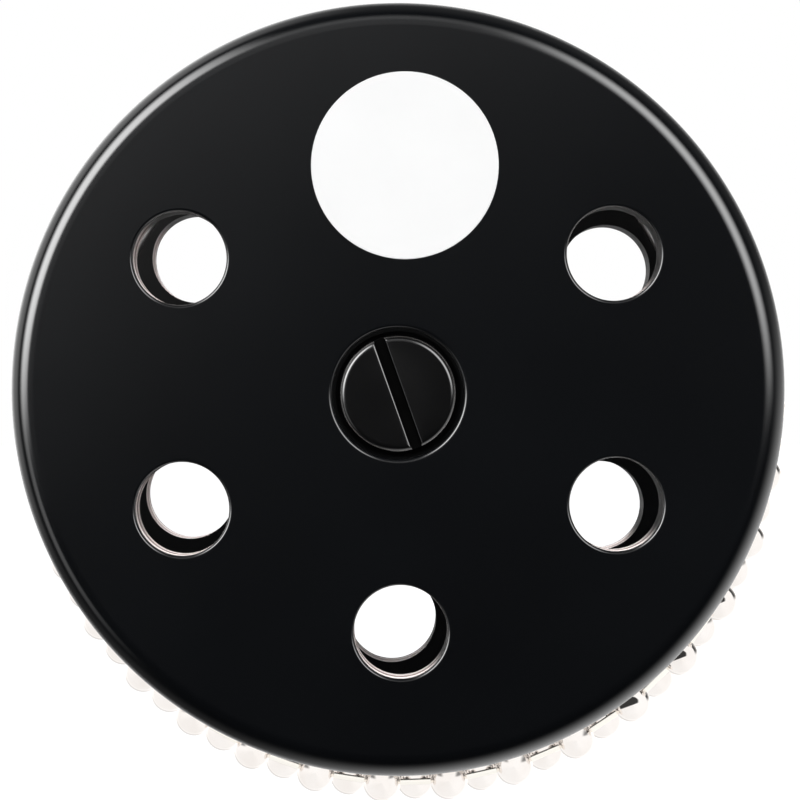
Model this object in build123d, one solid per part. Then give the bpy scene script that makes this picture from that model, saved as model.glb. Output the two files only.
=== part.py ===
from build123d import *
import math
import os

# A cabasa: two black discs with sound holes, a steel drum between them, loose loops of beads round the drum,
# and a turned handle behind, all drawn together by one slotted bolt on the drum's axis.
# The bolt's axis runs along Y, and the discs and the drum sit a little above it. The front disc faces -Y, the
# handle points along +Y, and the beads hang towards -Z.
# The origin is in the middle of the handle's grip. All sizes are in millimetres and all angles in degrees.

# Discs
disc_diameter = 124.0
disc_thickness = 11.0
disc_outer_round = 3.75
disc_inner_round = 1.5
spigot_height = 2.5
drum_lift = 0.65
front_disc_turn = 0.6
rear_disc_turn = -1.5

# Sound holes: six places on a ring, the top one left out
hole_diameter = 15.0
hole_rim_round = 0.9
hole_to_spigot_edge = 2.15
hole_ring_lift = 1.95
hole_places = 6
hole_left_out = 1

# Drum sheet
drum_inset = 11.45
drum_sheet = 0.8
drum_fit = 0.05

# Bead loops
loop_count = 6
loop_gap = 0.4
loop_clearance = 0.3
loop_hang = 5.0
loop_sway = 1.0
loop_turn = 88.2
bead_count = 34
bead_diameter = 6.2
bead_flat_diameter = 1.8
link_diameter = 1.0

# Bolt, washer, spacer and insert
bolt_diameter = 8.0
bolt_hole_clearance = 0.3
bolt_head_diameter = 18.5
bolt_head_height = 3.4
bolt_head_round = 0.6
bolt_head_recess = 0.6
bolt_slot_width = 1.8
bolt_slot_depth = 1.5
bolt_slot_turn = 19.5
bolt_reach = 24.0
bolt_tip_chamfer = 1.0
washer_margin = 0.75
washer_thickness = 1.2
counterbore_clearance = 0.7
counterbore_rim = 0.4
spacer_wall = 3.7
insert_wall = 2.0
insert_length = 26.0
insert_fit = 0.05
thread_fit = 0.05
socket_spare = 2.0

# Label
label_diameter = 30.0
label_thickness = 0.2
label_to_disc_edge = 11.2
label_right = 1.1

# Handle
grip_diameter = 28.0
grip_length = 68.0
handle_base_flare = 7.0
handle_base_height = 5.0
handle_base_round = 1.5
handle_cove_length = 22.0
handle_end_flat = 8.0

# Radii worked out from the sizes above
disc_radius = disc_diameter / 2
drum_radius = disc_radius - drum_inset
spigot_radius = drum_radius - drum_sheet - drum_fit
hole_radius = hole_diameter / 2
hole_ring_radius = spigot_radius - hole_to_spigot_edge - hole_radius
bolt_radius = bolt_diameter / 2
bolt_hole_radius = bolt_radius + bolt_hole_clearance
bolt_head_radius = bolt_head_diameter / 2
washer_radius = bolt_head_radius + washer_margin
counterbore_radius = washer_radius + counterbore_clearance
spacer_radius = bolt_hole_radius + spacer_wall
thread_radius = bolt_radius + thread_fit
insert_radius = thread_radius + insert_wall
socket_radius = insert_radius + insert_fit
grip_radius = grip_diameter / 2
handle_base_radius = grip_radius + handle_base_flare
handle_end_round = grip_radius - handle_end_flat / 2

# Depths and lengths along the axis
row_step = bead_diameter + loop_gap
disc_gap = loop_count * row_step + loop_gap
hole_wall = disc_thickness + spigot_height
counterbore_depth = bolt_head_recess + bolt_head_height + washer_thickness
socket_depth = max(insert_length, bolt_reach) + socket_spare

# Stations along Y, from the front face to the end of the handle
grip_start_y = -grip_length / 2
cove_start_y = grip_start_y - handle_cove_length
rear_face_y = cove_start_y - handle_base_height
rear_inner_y = rear_face_y - disc_thickness
front_inner_y = rear_inner_y - disc_gap
front_face_y = front_inner_y - disc_thickness
handle_end_y = grip_length / 2 + handle_end_round

# Each loop is a ring of beads that hangs on the top of the drum, a little to one side
bead_radius = bead_diameter / 2
loop_radius = drum_radius + loop_clearance + bead_radius + math.hypot(loop_hang, loop_sway)
bead_angle = 360 / bead_count
bead_lean = bead_angle / 2
bead_step = 2 * loop_radius * math.sin(math.radians(bead_lean))
link_circle_radius = loop_radius * math.cos(math.radians(bead_lean))
bead_flat_distance = math.sqrt(bead_radius**2 - (bead_flat_diameter / 2) ** 2)
link_length = bead_step - 2 * bead_flat_distance


def turned(points):
    """A solid of revolution about Y from an outline of (radius, y) points."""
    return revolve(make_face(Polyline(*points, close=True)), Axis.Y)


def tube(outer_radius, inner_radius, start_y, end_y):
    """A plain round tube along Y."""
    return turned(
        [(inner_radius, start_y), (outer_radius, start_y), (outer_radius, end_y), (inner_radius, end_y)]
    )


def rod(radius, start_y, end_y, x=0.0, z=0.0):
    """A plain round rod along Y."""
    middle = (start_y + end_y) / 2
    return Pos(x, middle, z) * Rot(90, 0, 0) * Cylinder(radius, end_y - start_y)


def edges_at(solid, y, radius):
    """The round edges of a solid that lie in the plane at y and have the given radius."""
    round_edges = solid.edges().filter_by(GeomType.CIRCLE)
    in_plane = round_edges.filter_by(lambda edge: abs(edge.arc_center.Y - y) < 1e-6)
    return in_plane.filter_by(lambda edge: abs(edge.radius - radius) < 1e-6)


def hole_centres(turn):
    """The (x, z) centres of the sound holes of a disc that is turned about the axis."""
    centres = []
    step = 360 / hole_places
    for place in range(hole_places):
        if place == hole_left_out:
            continue
        angle = math.radians(step / 2 + place * step + turn)
        x = hole_ring_radius * math.cos(angle)
        z = hole_ring_radius * math.sin(angle) + hole_ring_lift
        centres.append((x, z))
    return centres


def disc(outer_y, inward, turn):
    """A wooden disc whose inner face has a raised spigot that centres the drum sheet."""
    flange_y = outer_y + inward * disc_thickness
    spigot_y = flange_y + inward * spigot_height
    blank = turned(
        [
            (0, outer_y),
            (disc_radius, outer_y),
            (disc_radius, flange_y),
            (spigot_radius, flange_y),
            (spigot_radius, spigot_y),
            (0, spigot_y),
        ]
    )
    blank = fillet(edges_at(blank, outer_y, disc_radius), disc_outer_round)
    blank = fillet(edges_at(blank, flange_y, disc_radius), disc_inner_round)
    blank = Pos(0, 0, drum_lift) * blank
    low_y = min(outer_y, spigot_y)
    high_y = max(outer_y, spigot_y)
    blank -= rod(bolt_hole_radius, low_y - hole_wall, high_y + hole_wall)
    for x, z in hole_centres(turn):
        blank -= rod(hole_radius, low_y - hole_wall, high_y + hole_wall, x, z)
    return fillet(edges_at(blank, outer_y, hole_radius), hole_rim_round)


def make_front_disc():
    """The disc that faces the player's palm, with a counterbore for the bolt's head."""
    blank = disc(front_face_y, 1, front_disc_turn)
    blank -= rod(counterbore_radius, front_face_y - hole_wall, front_face_y + counterbore_depth)
    return chamfer(edges_at(blank, front_face_y, counterbore_radius), counterbore_rim)


def make_rear_disc():
    """The disc that the handle stands on."""
    return disc(rear_face_y, -1, rear_disc_turn)


def make_drum_shell():
    """The rolled steel sheet, held on the two spigots between the discs."""
    return Pos(0, 0, drum_lift) * tube(drum_radius, drum_radius - drum_sheet, front_inner_y, rear_inner_y)


def make_center_bolt():
    """The bolt along the axis, with a flat head and one straight slot."""
    head_y = front_face_y + bolt_head_recess
    seat_y = head_y + bolt_head_height
    tip_y = rear_face_y + bolt_reach
    blank = turned(
        [
            (0, head_y),
            (bolt_head_radius, head_y),
            (bolt_head_radius, seat_y),
            (bolt_radius, seat_y),
            (bolt_radius, tip_y),
            (0, tip_y),
        ]
    )
    blank = fillet(edges_at(blank, head_y, bolt_head_radius), bolt_head_round)
    blank = chamfer(edges_at(blank, tip_y, bolt_radius), bolt_tip_chamfer)
    slot = Box(bolt_slot_width, 2 * bolt_slot_depth, 2 * bolt_head_diameter)
    return blank - Pos(0, head_y, 0) * Rot(0, -bolt_slot_turn, 0) * slot


def make_bolt_washer():
    """The washer between the bolt's head and the floor of the counterbore."""
    floor_y = front_face_y + counterbore_depth
    return tube(washer_radius, bolt_hole_radius, floor_y - washer_thickness, floor_y)


def make_spacer_tube():
    """The tube that keeps the discs apart when the bolt is tight."""
    return tube(spacer_radius, bolt_hole_radius, front_face_y + hole_wall, rear_face_y - hole_wall)


def make_threaded_insert():
    """The sleeve in the handle that takes the bolt's thread."""
    return tube(insert_radius, thread_radius, rear_face_y, rear_face_y + insert_length)


def make_handle():
    """The turned handle: a base on the rear disc, a hollow curve, a straight grip and a rounded end."""
    socket_y = rear_face_y + socket_depth
    outline = [
        Line((socket_radius, rear_face_y), (handle_base_radius, rear_face_y)),
        Line((handle_base_radius, rear_face_y), (handle_base_radius, cove_start_y)),
        Bezier(
            (handle_base_radius, cove_start_y),
            (grip_radius, cove_start_y),
            (grip_radius, (cove_start_y + grip_start_y) / 2),
            (grip_radius, grip_start_y),
        ),
        Line((grip_radius, grip_start_y), (grip_radius, handle_end_y)),
        Line((grip_radius, handle_end_y), (0, handle_end_y)),
        Line((0, handle_end_y), (0, socket_y)),
        Line((0, socket_y), (socket_radius, socket_y)),
        Line((socket_radius, socket_y), (socket_radius, rear_face_y)),
    ]
    blank = revolve(make_face(outline), Axis.Y)
    blank = fillet(edges_at(blank, cove_start_y, handle_base_radius), handle_base_round)
    return fillet(edges_at(blank, handle_end_y, grip_radius), handle_end_round)


def make_round_label():
    """The plain round sticker on the front disc."""
    label_radius = label_diameter / 2
    label_up = drum_lift + disc_radius - label_to_disc_edge - label_radius
    return rod(label_radius, front_face_y - label_thickness, front_face_y, label_right, label_up)


def bead():
    """One round bead at the origin, the chain along X, with a small flat square to each of its two links."""
    ball = Sphere(bead_radius)
    block = Box(bead_diameter, 2 * bead_diameter, 2 * bead_diameter)
    for side in (-1, 1):
        ball -= Rot(0, side * bead_lean, 0) * Pos(side * (bead_flat_distance + bead_radius), 0, 0) * block
    return ball


def link():
    """One link at the origin along X, which ends flat against its two beads."""
    return Rot(0, 90, 0) * Cylinder(link_diameter / 2, link_length)


def ring_of(piece, row, first_angle, radius):
    """Copies of a piece round the loop of one row, each turned to follow the chain."""
    row_y = front_inner_y + loop_gap + bead_radius + row * row_step
    middle = Pos(loop_sway, row_y, drum_lift - loop_hang)
    copies = []
    for place in range(bead_count):
        turn = Rot(0, first_angle + place * bead_angle, 0)
        copies.append(middle * turn * Pos(0, 0, radius) * piece)
    return Compound(children=copies)


def loop_phase(row):
    """How far the first bead of a row is turned from the top: every other row has its beads in the gaps."""
    return loop_turn + (row % 2) * bead_lean


def save(name, shape):
    """Writes one piece to its own file."""
    export_step(shape, f"parts/{name}.step")


os.makedirs("parts", exist_ok=True)

save("front_disc", make_front_disc())
save("rear_disc", make_rear_disc())
save("drum_shell", make_drum_shell())
save("center_bolt", make_center_bolt())
save("bolt_washer", make_bolt_washer())
save("spacer_tube", make_spacer_tube())
save("threaded_insert", make_threaded_insert())
save("handle", make_handle())
save("round_label", make_round_label())

for row in range(loop_count):
    beads = ring_of(bead(), row, loop_phase(row), loop_radius)
    links = ring_of(link(), row, loop_phase(row) + bead_lean, link_circle_radius)
    save(f"bead_loop_{row + 1}", beads)
    save(f"loop_links_{row + 1}", links)
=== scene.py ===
import math
from collections import namedtuple

import bmesh
import bpy
from mathutils import Matrix, Vector


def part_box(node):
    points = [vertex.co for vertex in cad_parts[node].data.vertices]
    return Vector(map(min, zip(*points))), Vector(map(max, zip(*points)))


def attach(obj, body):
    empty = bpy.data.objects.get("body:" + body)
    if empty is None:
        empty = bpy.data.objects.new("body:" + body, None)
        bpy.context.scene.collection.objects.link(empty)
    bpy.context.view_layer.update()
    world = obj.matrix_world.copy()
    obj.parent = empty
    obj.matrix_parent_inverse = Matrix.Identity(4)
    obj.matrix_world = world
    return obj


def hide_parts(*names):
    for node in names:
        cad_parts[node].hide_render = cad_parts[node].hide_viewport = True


# A cabasa seen along its drum's axis: black discs with sound holes, loose loops of bright beads behind the
# front disc, a textured steel drum, one slotted bolt and a turned handle. Lengths are in metres and angles in
# degrees.

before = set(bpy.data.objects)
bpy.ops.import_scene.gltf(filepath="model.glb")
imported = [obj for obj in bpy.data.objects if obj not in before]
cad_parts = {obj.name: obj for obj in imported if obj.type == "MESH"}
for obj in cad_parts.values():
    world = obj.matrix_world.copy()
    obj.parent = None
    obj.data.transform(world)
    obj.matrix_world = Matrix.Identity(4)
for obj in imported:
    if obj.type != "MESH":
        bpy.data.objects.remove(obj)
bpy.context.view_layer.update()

MM = 0.001

# Places and main sizes, taken from the frame
front_low, front_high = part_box("front_disc")
rear_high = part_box("rear_disc")[1]
shell_low, shell_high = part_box("drum_shell")
bolt_low, bolt_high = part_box("center_bolt")
label_low, label_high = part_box("round_label")
handle_low, handle_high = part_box("handle")
disc_radius = front_high.x
drum_lift = (front_low.z + front_high.z) / 2
drum_radius = shell_high.x
disc_thickness = shell_low.y - front_low.y
wall_depth = front_high.y - front_low.y

# Discs
disc_outer_round = 3.75 * MM
disc_inner_round = 1.5 * MM
drum_sheet = 0.8 * MM
drum_fit = 0.05 * MM
spigot_radius = drum_radius - drum_sheet - drum_fit
bolt_hole_radius = 4.3 * MM
front_disc_turn = 0.6
rear_disc_turn = -1.5
counterbore_radius = 10.55 * MM
counterbore_depth = 5.2 * MM
counterbore_rim = 0.6 * MM

# Sound holes, on a ring of six places. The label takes the second place, at the top.
hole_place_count = 6
hole_first_angle = 30
label_place = 1
hole_radius = 7.5 * MM
hole_rim_round = 0.5 * MM
hole_to_spigot_edge = 2.15 * MM
hole_ring_radius = spigot_radius - hole_to_spigot_edge - hole_radius
hole_ring_lift = 1.95 * MM

# The holes' walls keep the wood's colour where they face this side, up and to the right, towards the light.
# Painted shade darkens them between these two cosines of the angle from it, until only a small share of the
# wood's colour is left.
lit_wall_side = 50
lit_wall_start = 0.35
lit_wall_end = -0.25
shaded_wall_share = 0.01

# Bolt and label
bolt_head_radius = bolt_high.x
bolt_head_height = 3.4 * MM
bolt_head_round = 0.9 * MM
bolt_radius = 4 * MM
bolt_tip_chamfer = 1 * MM
bolt_slot_width = 1.7 * MM
bolt_slot_depth = 1.5 * MM
bolt_slot_turn = 19.5
slot_edge_round = 0.35 * MM
label_edge_round = 0.12 * MM

# Handle
grip_radius = 14 * MM
grip_half = 34 * MM
handle_base_height = 5 * MM
handle_base_round = 1.5 * MM
handle_end_flat = 4 * MM
socket_radius = 6.1 * MM
socket_depth = 28 * MM

# Bead loops
loop_count = 6
bead_count = 34
bead_radius = 3.1 * MM
bead_mouth_radius = 0.75 * MM
bead_mouth_round = 0.15 * MM
bead_mouth_depth = 0.5 * MM
link_radius = 0.5 * MM
loop_clearance = 0.3 * MM
loop_hang = 5 * MM
loop_sway = 1 * MM
loop_turn = 88.2
shaded_bead_count = 6
loop_radius = drum_radius + loop_clearance + bead_radius + math.hypot(loop_hang, loop_sway)
bead_angle = 360 / bead_count

# Embossing of the drum sheet
emboss_cells_round = 108
emboss_cells_along = 12
emboss_samples = 6
emboss_height = 0.2 * MM
emboss_margin = 1.5 * MM
seam_plain_cells = 1
seam_depth = 0.3 * MM

# Steps round the turned shapes, and along the handle's hollow curve
disc_steps = 256
hole_steps = 96
turned_steps = 128
label_steps = 160
bead_steps = 28
link_steps = 12
cove_steps = 24

# Noise textures: their detail, and the part of their range that is used
noise_detail = 4
noise_low = 0.3
noise_high = 0.7

# Camera, from the photograph: the disc's middle at this pixel of the 800 pixel frame, seen from this far
# away. The sensor's width is in millimetres.
frame_pixels = 800
middle_pixel_x = 398
middle_pixel_y = 389.5
camera_distance = 773 * MM
focal_pixels = 4842
sensor_width = 36

# Floor: it starts a little in front of the object, so that the front disc faces a dark room
floor_height = -100 * MM
floor_front = -300 * MM
floor_half = 4
shadow_near = 0.1
shadow_far = 0.45
shadow_white = 0.8

# White behind the object, from where a direction's Y passes this value
back_light_start = 0.35
back_light_strength = 0.75

# Lamps: one in front for everything, and one on each side of the object for the holes of that side's disc
fill_distance = 1.1
fill_height = 0.5
fill_tilt = 65
fill_size = 1.4
fill_energy = 21
hole_lamp_aside = 0.1
hole_lamp_distance = 0.8
hole_lamp_height = 0.9
hole_lamp_tilt = 42
hole_lamp_size = 0.6
hole_lamp_energy = 20

# A mesh's materials: the main one, and the one inside its holes or its slot
MAIN = 0
INSIDE = 1

AT_AXIS = Matrix.Identity(4)
AT_DRUM = Matrix.Translation((0, 0, drum_lift))

Surface = namedtuple("Surface", "material tree shader coordinates")
Direction = namedtuple("Direction", "x y z off_axis clock")


# Mesh building
def ring(bm, radius, y, count, place):
    """A ring of vertices round the Y axis, or one vertex on it, moved to a place."""
    if radius == 0:
        return [bm.verts.new(place @ Vector((0, y, 0)))]
    verts = []
    for step in range(count):
        angle = 2 * math.pi * step / count
        verts.append(bm.verts.new(place @ Vector((radius * math.cos(angle), y, radius * math.sin(angle)))))
    return verts


def band(bm, first, second, material=MAIN):
    """Faces between two rings, or between a ring and one vertex."""
    count = max(len(first), len(second))
    for step in range(count):
        after = (step + 1) % count
        corners = [
            first[step % len(first)],
            first[after % len(first)],
            second[after % len(second)],
            second[step % len(second)],
        ]
        face = bm.faces.new(list(dict.fromkeys(corners)))
        face.material_index = material


def lathe(bm, outline, count, place=AT_AXIS):
    """A turned surface from an outline of (radius, y) points. Gives back its rings."""
    rings = [ring(bm, radius, y, count, place) for radius, y in outline]
    for first, second in zip(rings, rings[1:]):
        band(bm, first, second)
    return rings


def cap(bm, rings):
    """Fills the flat area between rings that lie in one plane."""
    edges = []
    for verts in rings:
        for first, second in zip(verts, verts[1:] + verts[:1]):
            edges.append(bm.edges.get((first, second)))
    filled = bmesh.ops.triangle_fill(bm, use_beauty=True, edges=edges)
    for item in filled["geom"]:
        if isinstance(item, bmesh.types.BMFace):
            item.material_index = MAIN


def arc(middle, size, start, end, steps):
    """Points on an arc in the outline's plane, between two angles."""
    points = []
    for step in range(steps + 1):
        angle = math.radians(start + (end - start) * step / steps)
        points.append((middle[0] + size * math.cos(angle), middle[1] + size * math.sin(angle)))
    return points


def curve_point(corners, t):
    """A point on a cubic curve."""
    weights = ((1 - t) ** 3, 3 * t * (1 - t) ** 2, 3 * t**2 * (1 - t), t**3)
    radius = sum(weight * corner[0] for weight, corner in zip(weights, corners))
    y = sum(weight * corner[1] for weight, corner in zip(weights, corners))
    return radius, y


def to_mesh(name, bm, materials):
    """A mesh with its materials from the work mesh, which is given up."""
    mesh = bpy.data.meshes.new(name)
    bm.to_mesh(mesh)
    bm.free()
    for material in materials:
        mesh.materials.append(material)
    return mesh


def add_object(name, data):
    """A new object in the scene."""
    made = bpy.data.objects.new(name, data)
    bpy.context.scene.collection.objects.link(made)
    return made


def smooth(made, sharp_angle):
    """Smooth, even shading, with edges that are sharper than an angle kept."""
    made.data.shade_smooth()
    made.data.set_sharp_from_angle(angle=math.radians(sharp_angle))
    even = made.modifiers.new("even_shading", "WEIGHTED_NORMAL")
    even.keep_sharp = True
    even.weight = 100


def piece(name, bm, body, node, materials, sharp_angle=35):
    """Makes an object of the mesh, on its body, in place of its CAD node."""
    bmesh.ops.recalc_face_normals(bm, faces=bm.faces)
    made = add_object(name, to_mesh(name, bm, materials))
    smooth(made, sharp_angle)
    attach(made, body)
    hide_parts(node)
    return made


# Shader building
def calculate(tree, operation, *values):
    """A math node on sockets and plain numbers."""
    node = tree.nodes.new("ShaderNodeMath")
    node.operation = operation
    for socket, value in zip(node.inputs, values):
        if isinstance(value, (int, float)):
            socket.default_value = value
        else:
            tree.links.new(value, socket)
    return node.outputs["Value"]


def times(tree, first, second):
    """The product of two values."""
    return calculate(tree, "MULTIPLY", first, second)


def spread(tree, value, start, end, low=0, high=1, interpolation="LINEAR"):
    """A change from low to high while the value goes from start to end, even unless told otherwise."""
    node = tree.nodes.new("ShaderNodeMapRange")
    node.interpolation_type = interpolation
    node.inputs["From Min"].default_value = start
    node.inputs["From Max"].default_value = end
    node.inputs["To Min"].default_value = low
    node.inputs["To Max"].default_value = high
    tree.links.new(value, node.inputs["Value"])
    return node.outputs["Result"]


def ramp(tree, value, start, end, low=0, high=1):
    """A soft change from low to high while the value goes from start to end."""
    return spread(tree, value, start, end, low, high, "SMOOTHSTEP")


def angle_ramp(tree, angle, start, end, low=0, high=1):
    """A soft change from low to high while the angle goes from start to end."""
    return ramp(tree, angle, math.radians(start), math.radians(end), low, high)


def new_surface(name):
    """A material with its nodes, its principled shader and its texture coordinates."""
    material = bpy.data.materials.new(name)
    material.use_nodes = True
    tree = material.node_tree
    coordinates = tree.nodes.new("ShaderNodeTexCoord")
    return Surface(material, tree, tree.nodes["Principled BSDF"], coordinates)


def noise(surface, size):
    """A noise texture whose features are about the given size."""
    texture = surface.tree.nodes.new("ShaderNodeTexNoise")
    texture.inputs["Scale"].default_value = 1 / size
    texture.inputs["Detail"].default_value = noise_detail
    surface.tree.links.new(surface.coordinates.outputs["Object"], texture.inputs["Vector"])
    return texture.outputs["Fac"]


def vary_colour(surface, size, low, high):
    """Lets the base colour vary between two colours."""
    blend = surface.tree.nodes.new("ShaderNodeValToRGB")
    for element, position, colour in zip(blend.color_ramp.elements, (noise_low, noise_high), (low, high)):
        element.position = position
        element.color = (*colour, 1)
    surface.tree.links.new(noise(surface, size), blend.inputs["Fac"])
    surface.tree.links.new(blend.outputs["Color"], surface.shader.inputs["Base Color"])


def vary_roughness(surface, size, low, high):
    """Lets the roughness vary between two values."""
    roughness = spread(surface.tree, noise(surface, size), noise_low, noise_high, low, high)
    surface.tree.links.new(roughness, surface.shader.inputs["Roughness"])


def roughen(surface, size, depth):
    """Adds a fine bump."""
    bump = surface.tree.nodes.new("ShaderNodeBump")
    bump.inputs["Distance"].default_value = depth
    bump.inputs["Strength"].default_value = 1
    surface.tree.links.new(noise(surface, size), bump.inputs["Height"])
    surface.tree.links.new(bump.outputs["Normal"], surface.shader.inputs["Normal"])


# Materials
def make_finish(name, colours, colour_size, roughness, rough_size, metallic=0, specular=0.5):
    """A finish whose colour and polish vary a little, over spots of about the given sizes."""
    surface = new_surface(name)
    vary_colour(surface, colour_size, *colours)
    vary_roughness(surface, rough_size, *roughness)
    surface.shader.inputs["Metallic"].default_value = metallic
    surface.shader.inputs["Specular IOR Level"].default_value = specular
    return surface


def make_metal(name, colours, roughness, size):
    """Bare metal, whose colour and polish vary over the same spots."""
    return make_finish(name, colours, size, roughness, size, metallic=1).material


def lit_wall_share(tree):
    """1 where a hole's wall faces the light, falling to almost 0 as painted shade where it faces away from
    it.
    """
    surface = tree.nodes.new("ShaderNodeNewGeometry")
    facing = tree.nodes.new("ShaderNodeVectorMath")
    facing.operation = "DOT_PRODUCT"
    side = math.radians(lit_wall_side)
    facing.inputs[1].default_value = (math.cos(side), 0, math.sin(side))
    tree.links.new(surface.outputs["Normal"], facing.inputs[0])
    return ramp(tree, facing.outputs["Value"], lit_wall_end, lit_wall_start, shaded_wall_share, 1)


def make_wood(name, outer_y, inner_y, dark):
    """Plywood in the holes: pale and dark layers across the depth of the disc, under lacquer that reached the
    rim. The walls darken as painted shade where they face away from the light up and to the right."""
    surface = new_surface(name)
    tree = surface.tree
    split = tree.nodes.new("ShaderNodeSeparateXYZ")
    tree.links.new(surface.coordinates.outputs["Object"], split.inputs["Vector"])
    depth = spread(tree, split.outputs["Y"], outer_y, inner_y)
    black = (0.004, 0.004, 0.004)
    pale = (0.88, 0.8, 0.78)
    stops = [(0.1, black), (0.15, pale), (0.4, pale), (0.48, dark), (0.62, dark), (0.7, pale)]
    layers = tree.nodes.new("ShaderNodeValToRGB")
    elements = layers.color_ramp.elements
    while len(elements) < len(stops):
        elements.new(0.5)
    for element, (position, colour) in zip(elements, stops):
        element.position = position
        element.color = (*colour, 1)
    tree.links.new(depth, layers.inputs["Fac"])
    # Painted shade: the wood's layers are scaled darker on the walls that face away from the light.
    wall_shade = tree.nodes.new("ShaderNodeVectorMath")
    wall_shade.operation = "SCALE"
    tree.links.new(layers.outputs["Color"], wall_shade.inputs[0])
    tree.links.new(lit_wall_share(tree), wall_shade.inputs["Scale"])
    tree.links.new(wall_shade.outputs["Vector"], surface.shader.inputs["Base Color"])
    surface.shader.inputs["Specular IOR Level"].default_value = 0.03
    roughen(surface, 0.6 * MM, depth=0.03 * MM)
    vary_roughness(surface, 2 * MM, 0.45, 0.6)
    return surface.material


# Satin black lacquer
lacquer = make_finish(
    "black_lacquer",
    colours=((0.0010, 0.0012, 0.0016), (0.0014, 0.0017, 0.0022)),
    colour_size=30 * MM,
    roughness=(0.14, 0.15),
    rough_size=20 * MM,
    specular=0.8,
).material

# Satin black coated steel
black_steel = make_finish(
    "black_steel",
    colours=((0.0014, 0.0014, 0.0016), (0.002, 0.002, 0.0022)),
    colour_size=10 * MM,
    roughness=(0.14, 0.16),
    rough_size=6 * MM,
    specular=1,
).material

# The inside of the bolt's slot: dull and near black with almost no reflection, painted shade for the recess
slot_shade_black = make_finish(
    "slot_shade_black",
    colours=((0.001, 0.001, 0.001), (0.0018, 0.0018, 0.0018)),
    colour_size=2 * MM,
    roughness=(0.6, 0.75),
    rough_size=1 * MM,
    specular=0.02,
).material

# Smooth white vinyl
label_surface = make_finish(
    "label_white",
    colours=((0.93, 0.93, 0.93), (0.95, 0.95, 0.95)),
    colour_size=12 * MM,
    roughness=(0.36, 0.42),
    rough_size=5 * MM,
)
roughen(label_surface, 0.8 * MM, depth=0.002 * MM)
label_white = label_surface.material

# Bare metals
bead_nickel = make_metal("bead_nickel", ((0.9, 0.85, 0.81), (0.95, 0.91, 0.88)), (0.05, 0.09), 4 * MM)
link_brass = make_metal("link_brass", ((0.95, 0.91, 0.84), (0.97, 0.94, 0.88)), (0.14, 0.2), 3 * MM)
drum_steel = make_metal("drum_steel", ((0.58, 0.58, 0.57), (0.68, 0.68, 0.67)), (0.26, 0.34), 6 * MM)
spacer_metal = make_metal("spacer_metal", ((0.55, 0.55, 0.56), (0.63, 0.63, 0.64)), (0.3, 0.4), 6 * MM)
insert_brass = make_metal("insert_brass", ((0.68, 0.5, 0.24), (0.76, 0.58, 0.3)), (0.25, 0.35), 5 * MM)


# Discs
def build_disc(name, outer_y, inward, turn, has_counterbore, dark_layer):
    """A thick disc with a rounded edge, sound holes and a spigot for the drum sheet."""
    def at_depth(points):
        return [(radius, outer_y + inward * depth) for radius, depth in points]

    bm = bmesh.new()
    rounding = (disc_radius - disc_outer_round, disc_outer_round)
    corner = (disc_radius - disc_inner_round, disc_thickness - disc_inner_round)
    outline = arc(rounding, disc_outer_round, -90, 0, steps=14)
    outline += arc(corner, disc_inner_round, 0, 90, steps=6)
    outline += [(spigot_radius, disc_thickness), (spigot_radius, wall_depth)]
    edge = lathe(bm, at_depth(outline), disc_steps, AT_DRUM)
    outer_rings = [edge[0]]
    inner_rings = [edge[-1]]
    rim = (hole_radius + hole_rim_round, hole_rim_round)
    rim_outline = at_depth(arc(rim, hole_rim_round, -90, -180, steps=8))
    wall_end_y = outer_y + inward * wall_depth
    for hole_place in range(hole_place_count):
        if hole_place == label_place:
            continue
        angle = math.radians(hole_first_angle + hole_place * 360 / hole_place_count + turn)
        x = hole_ring_radius * math.cos(angle)
        z = hole_ring_radius * math.sin(angle) + hole_ring_lift
        place = Matrix.Translation((x, 0, z))
        rim_rings = lathe(bm, rim_outline, hole_steps, place)
        wall_end = ring(bm, hole_radius, wall_end_y, hole_steps, place)
        band(bm, rim_rings[-1], wall_end, INSIDE)
        outer_rings.append(rim_rings[0])
        inner_rings.append(wall_end)
    centre_outline = [(bolt_hole_radius, 0), (bolt_hole_radius, wall_depth)]
    if has_counterbore:
        lip = (counterbore_radius + counterbore_rim, counterbore_rim)
        centre_outline = arc(lip, counterbore_rim, -90, -180, steps=6)
        centre_outline += [
            (counterbore_radius, counterbore_depth),
            (bolt_hole_radius, counterbore_depth),
            (bolt_hole_radius, wall_depth),
        ]
    centre = lathe(bm, at_depth(centre_outline), turned_steps)
    cap(bm, outer_rings + [centre[0]])
    cap(bm, inner_rings + [centre[-1]])
    wood = make_wood(f"{name}_wood", outer_y, wall_end_y, dark_layer)
    return piece(f"{name}_finished", bm, "head", name, [lacquer, wood])


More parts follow.
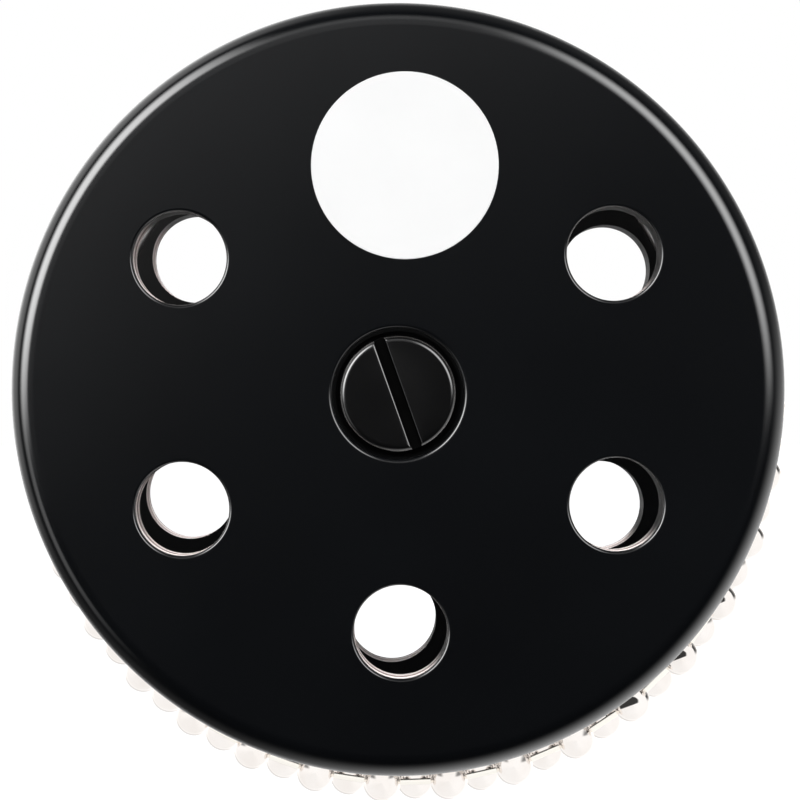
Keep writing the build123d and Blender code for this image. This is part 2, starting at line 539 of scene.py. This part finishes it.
# Drum sheet
def build_drum():
    """The rolled sheet with small embossed pyramids between two plain edges, and a seam on the right."""
    bm = bmesh.new()
    count = emboss_cells_round * emboss_samples
    start_y = shell_low.y + emboss_margin
    length = shell_high.y - shell_low.y - 2 * emboss_margin
    steps = emboss_cells_along * emboss_samples
    inner_radius = drum_radius - drum_sheet
    outer_rings = [ring(bm, drum_radius, shell_low.y, count, AT_AXIS)]
    for step in range(steps + 1):
        y = start_y + length * step / steps
        along = math.sin(math.pi * step / emboss_samples)
        verts = ring(bm, drum_radius, y, count, AT_AXIS)
        for place, vert in enumerate(verts):
            across = math.sin(math.pi * place / emboss_samples)
            if min(place, count - place) < seam_plain_cells * emboss_samples:
                across = 0
            grow = 1 + emboss_height * abs(along * across) / drum_radius
            vert.co.x *= grow
            vert.co.z *= grow
        outer_rings.append(verts)
    outer_rings.append(ring(bm, drum_radius, shell_high.y, count, AT_AXIS))
    for verts in outer_rings:
        verts[0].co.x -= seam_depth
    rings = [ring(bm, inner_radius, shell_low.y, count, AT_AXIS), *outer_rings]
    rings.append(ring(bm, inner_radius, shell_high.y, count, AT_AXIS))
    for first, second in zip(rings, rings[1:] + rings[:1]):
        band(bm, first, second)
    bmesh.ops.transform(bm, matrix=AT_DRUM, verts=bm.verts)
    name = "drum_shell_embossed"
    return piece(name, bm, "head", "drum_shell", [drum_steel], sharp_angle=60)


# Bolt
def slot_cutter(head_y):
    """A bar longer than the head is wide, whose section is the slot with its two rounded edges."""
    half = bolt_slot_width / 2
    floor_y = head_y + bolt_slot_depth
    above_y = head_y - bolt_slot_depth
    edge = (half + slot_edge_round, head_y + slot_edge_round)
    right_edge = arc(edge, slot_edge_round, 180, 270, steps=4)
    section = [(half, floor_y), *right_edge, (half + slot_edge_round, above_y)]
    section += [(-x, y) for x, y in reversed(section)]
    bm = bmesh.new()
    ends = []
    for z in (-2 * bolt_head_radius, 2 * bolt_head_radius):
        ends.append([bm.verts.new((x, y, z)) for x, y in section])
    band(bm, *ends)
    for end in ends:
        bm.faces.new(end)
    bmesh.ops.recalc_face_normals(bm, faces=bm.faces)
    # The slot's floor and walls take the second material, whose near black is painted shade.
    for face in bm.faces:
        on_edge = face.calc_center_median().y < head_y + slot_edge_round
        face.material_index = MAIN if on_edge else INSIDE
    turn = Matrix.Rotation(math.radians(-bolt_slot_turn), 4, "Y")
    bmesh.ops.transform(bm, matrix=turn, verts=bm.verts)
    return add_object("bolt_slot", to_mesh("bolt_slot", bm, [black_steel, slot_shade_black]))


def build_bolt():
    """The bolt with its flat, slotted head."""
    bm = bmesh.new()
    head_y = bolt_low.y
    seat_y = head_y + bolt_head_height
    tip_y = bolt_high.y
    edge = (bolt_head_radius - bolt_head_round, head_y + bolt_head_round)
    outline = [(0, head_y)]
    outline += arc(edge, bolt_head_round, -90, 0, steps=8)
    outline += [
        (bolt_head_radius, seat_y),
        (bolt_radius, seat_y),
        (bolt_radius, tip_y - bolt_tip_chamfer),
        (bolt_radius - bolt_tip_chamfer, tip_y),
        (0, tip_y),
    ]
    lathe(bm, outline, turned_steps)
    made = piece("center_bolt_finished", bm, "head", "center_bolt", [black_steel])
    made.modifiers.clear()
    cutter = slot_cutter(head_y)
    cut = made.modifiers.new("slot", "BOOLEAN")
    cut.object = cutter
    cut.solver = "EXACT"
    cut.material_mode = "TRANSFER"
    graph = bpy.context.evaluated_depsgraph_get()
    made.data = bpy.data.meshes.new_from_object(made.evaluated_get(graph))
    made.modifiers.clear()
    bpy.data.objects.remove(cutter)
    smooth(made, sharp_angle=50)
    return made


# Label
def build_label():
    """The bare round sticker, with a softly rounded edge."""
    bm = bmesh.new()
    radius = (label_high.x - label_low.x) / 2
    middle = (label_low + label_high) / 2
    place = Matrix.Translation((middle.x, 0, middle.z))
    edge = (radius - label_edge_round, label_low.y + label_edge_round)
    outline = arc(edge, label_edge_round, -90, 0, steps=4) + [(radius, label_high.y)]
    rings = lathe(bm, outline, label_steps, place)
    cap(bm, [rings[0]])
    cap(bm, [rings[-1]])
    piece("round_label_finished", bm, "head", "round_label", [label_white])


# Handle
def build_handle():
    """The turned handle: a base on the rear disc, a hollow curve, a straight grip and a rounded end."""
    bm = bmesh.new()
    base_radius = handle_high.x
    start_y = handle_low.y
    cove_y = start_y + handle_base_height
    end_y = handle_high.y
    socket_y = start_y + socket_depth
    outline = [(0, socket_y), (socket_radius, socket_y), (socket_radius, start_y), (base_radius, start_y)]
    cove_start = base_radius - handle_base_round
    outline += arc((cove_start, cove_y - handle_base_round), handle_base_round, 0, 90, steps=6)
    cove = (
        (cove_start, cove_y),
        (grip_radius, cove_y),
        (grip_radius, (cove_y - grip_half) / 2),
        (grip_radius, -grip_half),
    )
    outline += [curve_point(cove, step / cove_steps) for step in range(1, cove_steps + 1)]
    end_round = grip_radius - handle_end_flat
    outline += arc((handle_end_flat, end_y - end_round), end_round, 0, 90, steps=12)
    outline.append((0, end_y))
    lathe(bm, outline, turned_steps)
    return piece("handle_finished", bm, "head", "handle", [lacquer])


# Bead loops
def loop_places(row_y, first_angle, radius):
    """Where each of a loop's pieces goes, with its own Y axis along the chain."""
    middle = Matrix.Translation((loop_sway, row_y, drum_lift - loop_hang))
    along = Matrix.Translation((0, 0, radius)) @ Matrix.Rotation(math.radians(-90), 4, "Z")
    places = []
    for step in range(bead_count):
        turn = Matrix.Rotation(math.radians(first_angle + step * bead_angle), 4, "Y")
        places.append(middle @ turn @ along)
    return places


def bead_outline():
    """Half of a bead's section along the chain: a ball with a small rounded mouth for each of its links."""
    lip = bead_mouth_radius + bead_mouth_round
    lip_y = math.sqrt(bead_radius**2 - lip**2)
    ball_start = math.degrees(math.atan2(-lip_y, lip))
    ball = arc((0, 0), bead_radius, ball_start, -ball_start, steps=16)
    mouth = [
        (0, lip_y - bead_mouth_depth),
        (bead_mouth_radius, lip_y - bead_mouth_depth),
        (bead_mouth_radius, lip_y - bead_mouth_round),
    ]
    start = [(radius, -y) for radius, y in mouth]
    return start + ball + mouth[::-1]


def build_loop(row, bead_groups):
    """One loop: its beads, and the wire links between them."""
    node = f"bead_loop_{row}"
    body = f"loop_{row}"
    low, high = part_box(node)
    row_y = (low.y + high.y) / 2
    phase = loop_turn + ((row - 1) % 2) * bead_angle / 2
    outline = bead_outline()
    places = loop_places(row_y, phase, loop_radius)
    shaded_count = shaded_bead_count if row == 1 else 0
    for group, group_places in (("shaded", places[:shaded_count]), ("polished", places[shaded_count:])):
        if group_places:
            beads = bmesh.new()
            for place in group_places:
                lathe(beads, outline, bead_steps, place)
            made = piece(f"{node}_{group}", beads, body, node, [bead_nickel], sharp_angle=50)
            bead_groups[group].append(made)
    links = bmesh.new()
    half_angle = math.radians(bead_angle / 2)
    half_link = loop_radius * math.sin(half_angle) - bead_radius + bead_mouth_depth / 2
    link_outline = [(0, -half_link), (link_radius, -half_link), (link_radius, half_link), (0, half_link)]
    for place in loop_places(row_y, phase + bead_angle / 2, loop_radius * math.cos(half_angle)):
        lathe(links, link_outline, link_steps, place)
    wires = piece(f"loop_links_{row}_wire", links, body, f"loop_links_{row}", [link_brass])
    bead_groups["polished"].append(wires)


# Floor
def build_floor():
    """A plain pale floor a little below the beads. It keeps their shadow and is plain white further away."""
    middle_y = floor_front + floor_half
    bm = bmesh.new()
    bmesh.ops.create_grid(bm, x_segments=1, y_segments=1, size=floor_half)
    surface = make_finish(
        "floor_white",
        colours=((0.86, 0.86, 0.86), (0.88, 0.88, 0.88)),
        colour_size=0.5,
        roughness=(0.9, 0.95),
        rough_size=0.3,
        specular=0,
    )
    tree = surface.tree
    path = tree.nodes.new("ShaderNodeLightPath")
    from_object = tree.nodes.new("ShaderNodeVectorMath")
    from_object.operation = "DISTANCE"
    from_object.inputs[1].default_value = (0, -middle_y, 0)
    tree.links.new(surface.coordinates.outputs["Object"], from_object.inputs[0])
    white = ramp(tree, from_object.outputs["Value"], shadow_near, shadow_far, shadow_white, 1)
    seen_white = times(tree, path.outputs["Is Camera Ray"], white)
    surface.shader.inputs["Emission Color"].default_value = (1, 1, 1, 1)
    tree.links.new(seen_white, surface.shader.inputs["Emission Strength"])
    floor = add_object("floor", to_mesh("floor", bm, [surface.material]))
    floor.location = (0, middle_y, floor_height)
    floor.visible_glossy = False


# Light
def find_direction(tree, kind):
    """Sockets for a direction: its X, Y and Z, its angle from straight in front, and its angle round the
    axis, from +X towards +Z."""
    coordinates = tree.nodes.new("ShaderNodeTexCoord")
    unit = tree.nodes.new("ShaderNodeVectorMath")
    unit.operation = "NORMALIZE"
    tree.links.new(coordinates.outputs[kind], unit.inputs[0])
    split = tree.nodes.new("ShaderNodeSeparateXYZ")
    tree.links.new(unit.outputs["Vector"], split.inputs["Vector"])
    x, y, z = split.outputs["X"], split.outputs["Y"], split.outputs["Z"]
    off_axis = calculate(tree, "ARCCOSINE", times(tree, y, -1))
    clock = calculate(tree, "ARCTAN2", z, x)
    return Direction(x, y, z, off_axis, clock)


def nearness(tree, direction, angle):
    """1 where a direction lies at an angle round the axis, falling to -1 on the opposite side."""
    return calculate(tree, "COSINE", calculate(tree, "SUBTRACT", direction.clock, math.radians(angle)))


def strip(tree, direction, middle, reach, rise, fall, strength):
    """A soft patch of light. Middle and reach are its angles round the axis. Rise and fall are the angles
    from straight in front between which it comes in and goes out."""
    light = ramp(tree, nearness(tree, direction, middle), math.cos(math.radians(reach)), 1, 0, strength)
    light = times(tree, light, angle_ramp(tree, direction.off_axis, *rise))
    return times(tree, light, angle_ramp(tree, direction.off_axis, *fall, 1, 0))


def add_up(tree, lights):
    """The sum of several patches of light."""
    total = lights[0]
    for light in lights[1:]:
        total = calculate(tree, "ADD", total, light)
    return total


def build_world():
    """White round the object for the camera, and white from behind for light and reflections."""
    world = bpy.data.worlds.new("studio")
    bpy.context.scene.world = world
    world.use_nodes = True
    tree = world.node_tree
    background = tree.nodes["Background"]
    path = tree.nodes.new("ShaderNodeLightPath")
    direction = find_direction(tree, "Generated")
    behind = ramp(tree, direction.y, back_light_start, 1, 0, back_light_strength)
    strength = calculate(tree, "MAXIMUM", behind, path.outputs["Is Camera Ray"])
    tree.links.new(strength, background.inputs["Strength"])
    background.inputs["Color"].default_value = (1, 1, 1, 1)


def collect(name, pieces):
    """A collection of pieces for a light."""
    collection = bpy.data.collections.new(name)
    for made in pieces:
        collection.objects.link(made)
    return collection


def add_lamp(name, place, tilt, size, energy, pieces=None):
    """A plain square lamp that doesn't show in reflections. It lights some pieces alone, or everything."""
    data = bpy.data.lights.new(name, "AREA")
    data.shape = "SQUARE"
    data.size = size
    data.energy = energy
    lamp = add_object(name, data)
    lamp.location = place
    lamp.rotation_euler = (math.radians(tilt), 0, 0)
    lamp.visible_glossy = False
    lamp.visible_camera = False
    if pieces:
        lamp.light_linking.receiver_collection = collect(name, pieces)


def add_reflections(name, radius, pieces, pattern):
    """A ball of soft light round the object, which shows in the reflections of some pieces alone."""
    bm = bmesh.new()
    bmesh.ops.create_uvsphere(bm, u_segments=64, v_segments=32, radius=radius)
    glow = bpy.data.materials.new(name)
    glow.use_nodes = True
    tree = glow.node_tree
    tree.nodes.clear()
    emission = tree.nodes.new("ShaderNodeEmission")
    clear = tree.nodes.new("ShaderNodeBsdfTransparent")
    both = tree.nodes.new("ShaderNodeAddShader")
    output = tree.nodes.new("ShaderNodeOutputMaterial")
    tree.links.new(pattern(tree), emission.inputs["Strength"])
    tree.links.new(emission.outputs["Emission"], both.inputs[0])
    tree.links.new(clear.outputs["BSDF"], both.inputs[1])
    tree.links.new(both.outputs["Shader"], output.inputs["Surface"])
    ball = add_object(name, to_mesh(name, bm, [glow]))
    ball.location = (0, front_low.y, 0)
    ball.visible_camera = False
    ball.visible_diffuse = False
    ball.visible_shadow = False
    ball.light_linking.receiver_collection = collect(name, pieces)


def dark_light(tree):
    """Two soft windows above, to the left and the right, and a bright table low on the right."""
    direction = find_direction(tree, "Object")
    left = strip(tree, direction, middle=150, reach=41, rise=(30, 44), fall=(58, 80), strength=10.4)
    left_low = strip(tree, direction, middle=183, reach=45, rise=(46, 54), fall=(62, 74), strength=1.2)
    right = strip(tree, direction, middle=35, reach=41, rise=(11, 37), fall=(40, 68), strength=6.5)
    top = strip(tree, direction, middle=90, reach=60, rise=(30, 42), fall=(44, 62), strength=0.5)
    haze = strip(tree, direction, middle=125, reach=85, rise=(2, 9), fall=(30, 60), strength=0.42)
    back_left = strip(tree, direction, middle=152, reach=60, rise=(80, 100), fall=(150, 180), strength=1.2)
    table = strip(tree, direction, middle=312, reach=70, rise=(52, 114), fall=(112, 165), strength=1.6)
    room = angle_ramp(tree, direction.off_axis, 60, 100, 0.015, 0.15)
    return add_up(tree, [left, left_low, right, top, haze, back_left, table, room])


def bead_surround(tree, direction):
    """Light all round, with less of it straight behind, for the beads' outline. The outline is clearest low
    on the left. Away from there it fades and the light is a little brighter."""
    low_left = nearness(tree, direction, -120)
    behind = ramp(tree, direction.y, 0.45, 0.85)
    outline = times(tree, behind, ramp(tree, low_left, 0.5, 1, 0.33, 0.85))
    light = ramp(tree, low_left, 0.9, 0.3, 1, 1.07)
    return times(tree, light, calculate(tree, "SUBTRACT", 1, outline))


def bead_light(tree):
    """White all round, with a grey band of room above at the sides and behind."""
    direction = find_direction(tree, "Object")
    above = times(tree, ramp(tree, direction.z, 0.3, 0.5), ramp(tree, direction.z, 0.94, 0.8))
    sideways = ramp(tree, calculate(tree, "ABSOLUTE", direction.x), 0.5, 0.8)
    behind = ramp(tree, direction.y, -0.1, 0.2)
    room = times(tree, above, calculate(tree, "MAXIMUM", sideways, behind))
    white = calculate(tree, "SUBTRACT", 1, times(tree, room, 0.75))
    return times(tree, white, bead_surround(tree, direction))


def shaded_bead_light(tree):
    """White all round, with a dark room in front above the edge of a table that rises to the right. The room
    has one window, and one dark corner far behind on the right."""
    direction = find_direction(tree, "Object")
    above_table = calculate(tree, "SUBTRACT", direction.z, times(tree, direction.x, 0.38))
    room = times(tree, ramp(tree, above_table, -0.22, -0.14), ramp(tree, direction.x, 0.7, 0.5))
    room = times(tree, room, angle_ramp(tree, direction.off_axis, 100, 80))
    window = strip(tree, direction, middle=70, reach=60, rise=(38, 48), fall=(88, 108), strength=1.5)
    room = times(tree, room, ramp(tree, window, 1, 0))
    corner = strip(tree, direction, middle=40, reach=40, rise=(96, 110), fall=(132, 146), strength=1.4)
    dark = calculate(tree, "MINIMUM", calculate(tree, "ADD", room, corner), 0.96)
    white = calculate(tree, "SUBTRACT", 1, dark)
    return times(tree, white, bead_surround(tree, direction))


# Camera
def build_camera():
    """The camera on the drum's axis, framed as in the photograph."""
    data = bpy.data.cameras.new("camera")
    data.sensor_width = sensor_width
    data.lens = focal_pixels / frame_pixels * sensor_width
    data.shift_x = (frame_pixels / 2 - middle_pixel_x) / frame_pixels
    data.shift_y = (middle_pixel_y - frame_pixels / 2) / frame_pixels
    camera = add_object("camera", data)
    camera.location = (0, front_low.y - camera_distance, drum_lift)
    camera.rotation_euler = (math.radians(90), 0, 0)
    bpy.context.scene.camera = camera


# The object
front_disc = build_disc(
    "front_disc",
    outer_y=front_low.y,
    inward=1,
    turn=front_disc_turn,
    has_counterbore=True,
    dark_layer=(0.17, 0.11, 0.1),
)
rear_disc = build_disc(
    "rear_disc",
    outer_y=rear_high.y,
    inward=-1,
    turn=rear_disc_turn,
    has_counterbore=False,
    dark_layer=(0.55, 0.46, 0.44),
)
drum = build_drum()
bolt = build_bolt()
build_label()
handle = build_handle()
shaded_and_polished = {"shaded": [], "polished": []}
for row_number in range(1, loop_count + 1):
    build_loop(row_number, shaded_and_polished)

# The front disc and the drum don't show in reflections, so that the beads stay bright up to the disc's edge
front_disc.visible_glossy = False
drum.visible_glossy = False

# Pieces that keep their CAD form
for node_name, finish, slot_name in (
    ("bolt_washer", black_steel, "black_steel"),
    ("spacer_tube", spacer_metal, "spacer_metal"),
    ("threaded_insert", insert_brass, "insert_brass"),
):
    kept_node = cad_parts[node_name]
    kept_node.data.materials.clear()
    kept_node.data.materials.append(finish)

# The stage
build_floor()
build_world()
fill_place = (0, front_low.y - fill_distance, fill_height)
add_lamp("fill_front", fill_place, fill_tilt, fill_size, fill_energy)
for lamp_name, lamp_y, lamp_tilt, lit_disc in (
    ("hole_light_front", front_low.y - hole_lamp_distance, hole_lamp_tilt, front_disc),
    ("hole_light_back", rear_high.y + hole_lamp_distance, -hole_lamp_tilt, rear_disc),
):
    lamp_place = (hole_lamp_aside, lamp_y, hole_lamp_height)
    add_lamp(lamp_name, lamp_place, lamp_tilt, hole_lamp_size, hole_lamp_energy, [lit_disc])
polished = shaded_and_polished["polished"] + [drum]
add_reflections("reflections_dark", 2, [front_disc, rear_disc, bolt, handle], dark_light)
add_reflections("reflections_beads", 2.2, polished, bead_light)
add_reflections("reflections_shaded_beads", 2.4, shaded_and_polished["shaded"], shaded_bead_light)
build_camera()
bpy.context.scene.view_settings.view_transform = "Standard"
